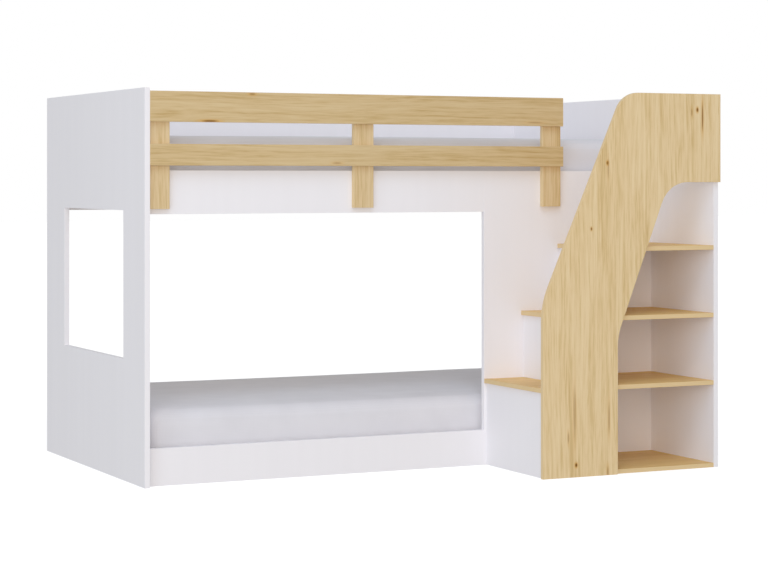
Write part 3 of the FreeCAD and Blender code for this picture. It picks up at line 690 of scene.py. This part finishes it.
class BUNKBED_OT_fixings(bpy.types.Operator):
    """Puts round, recessed fixings in place of the plain cams and bolts, and screws the slats down"""

    bl_idname = "bunkbed.fixings"
    bl_label = "Fixings"

    def execute(self, context):
        sizes = context.scene.bunkbed_fixings
        steel = metal("steel_zinc_plated", sizes.steel_tone, grit=0.0012, roughest=0.42)
        zinc = metal("zinc_die_cast", sizes.zinc_tone, grit=0.0008, roughest=0.55)
        dress("cam_bolts", steel)
        self.cam_locks(zinc)
        self.guard_bolts(steel)
        self.screws(sizes, steel)
        return {"FINISHED"}

    def cam_locks(self, zinc):
        """Cams lie flush in the inner faces of the boards, so they face the middle of the bed."""
        boxes = solids_of("cam_locks")
        low, high = boxes[0]
        radius = (high.x - low.x) / 2
        depth = high.y - low.y
        cam = turned_fixing(((radius - CAM_CHAMFER, 0), (radius, -CAM_CHAMFER), (radius, -depth)),
                            recess_radius=radius * CROSS_SIZE, recess_depth=CAM_RECESS_DEPTH, cross=True)
        middle = sum(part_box("upper_mattress"), Vector()).y / 2
        cams = []
        for low, high in boxes:
            centre = (low + high) / 2
            at_front = centre.y < middle
            mouth = high.y if at_front else low.y
            cams.append((cam, (centre.x, mouth, centre.z), (0, 1 if at_front else -1, 0)))
        piece = set_out("cam_lock_discs", cams, zinc)
        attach(piece, BED_FRAME)
        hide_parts("cam_locks")

    def guard_bolts(self, steel):
        """Button heads on the inner side of the guard posts and of the upper front rail."""
        boxes = solids_of("guard_bolts")
        low, high = boxes[0]
        radius = (high.x - low.x) / 2
        head = radius * BUTTON_HEIGHT
        shank = radius * SHANK
        button = [(radius * out, -head * down) for out, down in BUTTON_OUTLINE]
        bolts = []
        for low, high in boxes:
            reach = high.y - low.y
            profile = (*button, (shank, -head), (shank, -reach + shank / 2), (shank / 2, -reach))
            bolt = turned_fixing(profile, recess_radius=radius * HEXAGON_SIZE,
                                 recess_depth=head * HEXAGON_DEPTH, cross=False)
            centre = (low + high) / 2
            bolts.append((bolt, (centre.x, high.y, centre.z), (0, 1, 0)))
        piece = set_out("guard_bolt_heads", bolts, steel)
        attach(piece, BED_FRAME)
        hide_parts("guard_bolts")

    def screws(self, sizes, steel):
        """Countersunk screws through each ledger into its board, and through each slat into its ledger."""
        radius = sizes.screw_head
        shank = radius * SHANK
        profile = ((radius * SCREW_LAND, 0), (radius, -SCREW_RIM), (shank, -radius),
                   (shank, -sizes.screw_length + radius), (shank * SCREW_TIP, -sizes.screw_length))
        screw = turned_fixing(profile, recess_radius=radius * CROSS_SIZE,
                              recess_depth=radius * SCREW_RECESS_DEPTH, cross=True)
        for level in ("upper", "lower"):
            front_low, front_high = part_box(f"{level}_front_ledger")
            rear_low, rear_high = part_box(f"{level}_rear_ledger")
            height = (front_low.z + front_high.z) / 2
            first = front_low.x + sizes.ledger_end
            step = (front_high.x - front_low.x - 2 * sizes.ledger_end) / (sizes.ledger_screws - 1)
            in_ledgers = []
            for count in range(sizes.ledger_screws):
                along = first + count * step
                in_ledgers.append((screw, (along, front_high.y + sizes.screw_proud, height), (0, 1, 0)))
                in_ledgers.append((screw, (along, rear_low.y - sizes.screw_proud, height), (0, -1, 0)))
            rows = ((front_low.y + front_high.y) / 2, (rear_low.y + rear_high.y) / 2)
            in_slats = []
            for node in nodes_in("slat_pine"):
                if not node.startswith(f"{level}_slat"):
                    continue
                low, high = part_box(node)
                for row in rows:
                    point = ((low.x + high.x) / 2, row, high.z + sizes.screw_proud)
                    in_slats.append((screw, point, (0, 0, 1)))
            for name, screws in ((f"{level}_ledger_screws", in_ledgers), (f"{level}_slat_screws", in_slats)):
                piece = set_out(name, screws, steel)
                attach(piece, BED_FRAME)


class BUNKBED_OT_mattresses(bpy.types.Operator):
    """Makes the two mattresses as filled, knitted covers"""

    bl_idname = "bunkbed.mattresses"
    bl_label = "Mattresses"

    def execute(self, context):
        look = context.scene.bunkbed_mattresses
        cover = knitted_ticking(look)
        for node in MATTRESSES:
            pad = self.foam_block(node, look, cover)
            self.fill(context, pad, look)
            self.round_off(pad)
            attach(pad, node)
            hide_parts(node)
        return {"FINISHED"}

    def foam_block(self, node, look, cover):
        """A block with rounded edges, remeshed evenly, crowned on top and drawn in along its sides."""
        low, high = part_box(node)
        inset = Vector((look.swell, look.swell, 0))
        low = low + inset
        high = high - inset - Vector((0, 0, look.crown))
        size = high - low
        centre = (low + high) / 2
        builder = bmesh.new()
        block = Matrix.Translation(centre) @ Matrix.Diagonal((*size, 1))
        bmesh.ops.create_cube(builder, size=1, matrix=block)
        bmesh.ops.bevel(builder, geom=list(builder.edges), offset=look.edge_round, offset_type="OFFSET",
                        affect="EDGES", segments=EDGE_SEGMENTS, profile=0.5, material=-1)
        pad = new_piece(f"{node}_pad", builder, cover)
        remesh = pad.modifiers.new("even_mesh", "REMESH")
        remesh.mode = "VOXEL"
        remesh.voxel_size = look.voxel
        take_modifiers(pad)
        for vertex in pad.data.vertices:
            u, v, w = ((vertex.co[axis] - centre[axis]) / (size[axis] / 2) for axis in range(3))
            upper = max(0.0, w)
            vertex.co.z += look.crown * upper * (1 - u * u) * (1 - v * v)
            vertex.co.y -= look.draw * math.copysign(v * v, v) * (1 - u * u)
            vertex.co.x -= look.draw * math.copysign(u * u, u) * (1 - v * v)
        return pad

    def fill(self, context, pad, look):
        """Fills the cover by pressure, with its underside held, and limits how far each point moves."""
        start = [vertex.co.copy() for vertex in pad.data.vertices]
        base = min(point.z for point in start)
        seat = pad.vertex_groups.new(name="seat")
        held = [place for place, point in enumerate(start) if point.z < base + look.voxel / 2]
        seat.add(held, 1.0, "REPLACE")
        cloth = pad.modifiers.new("cover", "CLOTH")
        cloth.settings.vertex_group_mass = seat.name
        cloth.settings.use_pressure = True
        cloth.settings.uniform_pressure_force = look.pressure
        cloth.settings.effector_weights.gravity = 0
        cloth.settings.quality = CLOTH_QUALITY
        cloth.settings.shrink_min = -COVER_SLACK
        cloth.point_cache.frame_start = 1
        cloth.point_cache.frame_end = look.frames
        for step in range(1, look.frames + 1):
            context.scene.frame_set(step)
        take_modifiers(pad)
        pad.vertex_groups.clear()
        for vertex, point in zip(pad.data.vertices, start):
            move = vertex.co - point
            if move.length > look.swell:
                vertex.co = point + move * (look.swell / move.length)
        context.scene.frame_set(1)

    def round_off(self, pad):
        """Smooth shading and one level of subdivision."""
        pad.data.shade_smooth()
        smooth = pad.modifiers.new("smooth_cover", "SUBSURF")
        smooth.levels = 1
        smooth.render_levels = 1


def take_modifiers(piece):
    """Replaces a piece's mesh by what its modifiers make of it, and removes them."""
    shown = piece.evaluated_get(bpy.context.evaluated_depsgraph_get())
    mesh = bpy.data.meshes.new_from_object(shown)
    piece.modifiers.clear()
    piece.data = mesh


class BUNKBED_OT_stage(bpy.types.Operator):
    """Sets up the floor, the soft lights and the camera"""

    bl_idname = "bunkbed.stage"
    bl_label = "Studio"

    def execute(self, context):
        studio = context.scene.bunkbed_studio
        self.floor(studio)
        self.surroundings(context, studio)
        self.soft_light("camera_light", studio.camera_power, studio.camera_tone, CAMERA_LIGHT_PLACE)
        self.soft_light("left_light", studio.left_power, studio.left_tone, LEFT_LIGHT_PLACE)
        self.soft_light("high_light", studio.high_power, studio.high_tone, HIGH_LIGHT_PLACE)
        self.camera(context, studio)
        context.scene.view_settings.view_transform = "Standard"
        context.scene.view_settings.gamma = studio.gamma
        return {"FINISHED"}

    def floor(self, studio):
        """A floor that shows in the picture and takes shadows, but throws no light back on the bed."""
        builder = bmesh.new()
        bmesh.ops.create_grid(builder, x_segments=1, y_segments=1, size=studio.floor_reach)
        floor = new_piece("studio_floor", builder, floor_paper(studio))
        floor.visible_diffuse = False
        floor.visible_glossy = False

    def surroundings(self, context, studio):
        """Even white all round, full white to the camera and weaker as a light."""
        world = bpy.data.worlds.new("studio_white")
        world.use_nodes = True
        tree = world.node_tree
        seen = add_node(tree, "ShaderNodeLightPath").outputs["Is Camera Ray"]
        strength = add_node(tree, "ShaderNodeMapRange", {"Value": seen, "To Min": studio.sky, "To Max": 1.0})
        background = tree.nodes["Background"]
        background.inputs["Color"].default_value = (1, 1, 1, 1)
        tree.links.new(strength.outputs["Result"], background.inputs["Strength"])
        context.scene.world = world

    def soft_light(self, name, watts, tone, place):
        """A large round light that faces the bed."""
        light = bpy.data.lights.new(name, "AREA")
        light.shape = "DISK"
        light.size = LIGHT_BREADTH
        light.energy = watts
        light.color = tone
        lamp = bpy.data.objects.new(name, light)
        lamp.location = place
        lamp.rotation_euler = (Vector(LIGHT_TARGET) - Vector(place)).to_track_quat("-Z", "Y").to_euler()
        bpy.context.scene.collection.objects.link(lamp)

    def camera(self, context, studio):
        """A level camera whose lens is shifted, so that upright edges stay upright."""
        view = bpy.data.cameras.new("photo_camera")
        view.sensor_width = SENSOR_WIDTH
        view.lens = studio.lens
        view.shift_y = studio.rise
        camera = bpy.data.objects.new("photo_camera", view)
        camera.location = studio.camera_place
        camera.rotation_euler = (LEVEL, 0, studio.camera_turn)
        context.scene.collection.objects.link(camera)
        context.scene.camera = camera


class BUNKBED_PT_looks(bpy.types.Panel):
    """Lists the steps that dress the bed, and their settings"""

    bl_label = "Bunk bed"
    bl_idname = "BUNKBED_PT_looks"
    bl_space_type = "VIEW_3D"
    bl_region_type = "UI"
    bl_category = "Bunk bed"

    def draw(self, context):
        for step in STEPS:
            self.layout.operator(step.bl_idname)
        for place, kind in SETTINGS.items():
            box = self.layout.box()
            for name in kind.__annotations__:
                box.prop(getattr(context.scene, place), name)


STEPS = (
    BUNKBED_OT_white_boards,
    BUNKBED_OT_oak_boards,
    BUNKBED_OT_slat_timber,
    BUNKBED_OT_fixings,
    BUNKBED_OT_mattresses,
    BUNKBED_OT_stage,
)
SETTINGS = {
    "bunkbed_boards": BoardFinish,
    "bunkbed_timber": SlatTimber,
    "bunkbed_fixings": FixingSizes,
    "bunkbed_mattresses": MattressLook,
    "bunkbed_studio": Studio,
}
CLASSES = (*SETTINGS.values(), *STEPS, BUNKBED_PT_looks)


def register():
    """Makes the classes and the scene's settings known to Blender."""
    for kind in CLASSES:
        bpy.utils.register_class(kind)
    for name, group in SETTINGS.items():
        setattr(bpy.types.Scene, name, PointerProperty(type=group))


def unregister():
    """Takes the settings and the classes away again."""
    for name in SETTINGS:
        delattr(bpy.types.Scene, name)
    for kind in reversed(CLASSES):
        bpy.utils.unregister_class(kind)


def main():
    """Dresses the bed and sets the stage."""
    register()
    bpy.ops.bunkbed.white_boards()
    bpy.ops.bunkbed.oak_boards()
    bpy.ops.bunkbed.slat_timber()
    bpy.ops.bunkbed.fixings()
    bpy.ops.bunkbed.mattresses()
    bpy.ops.bunkbed.stage()


if __name__ == "__main__":
    main()
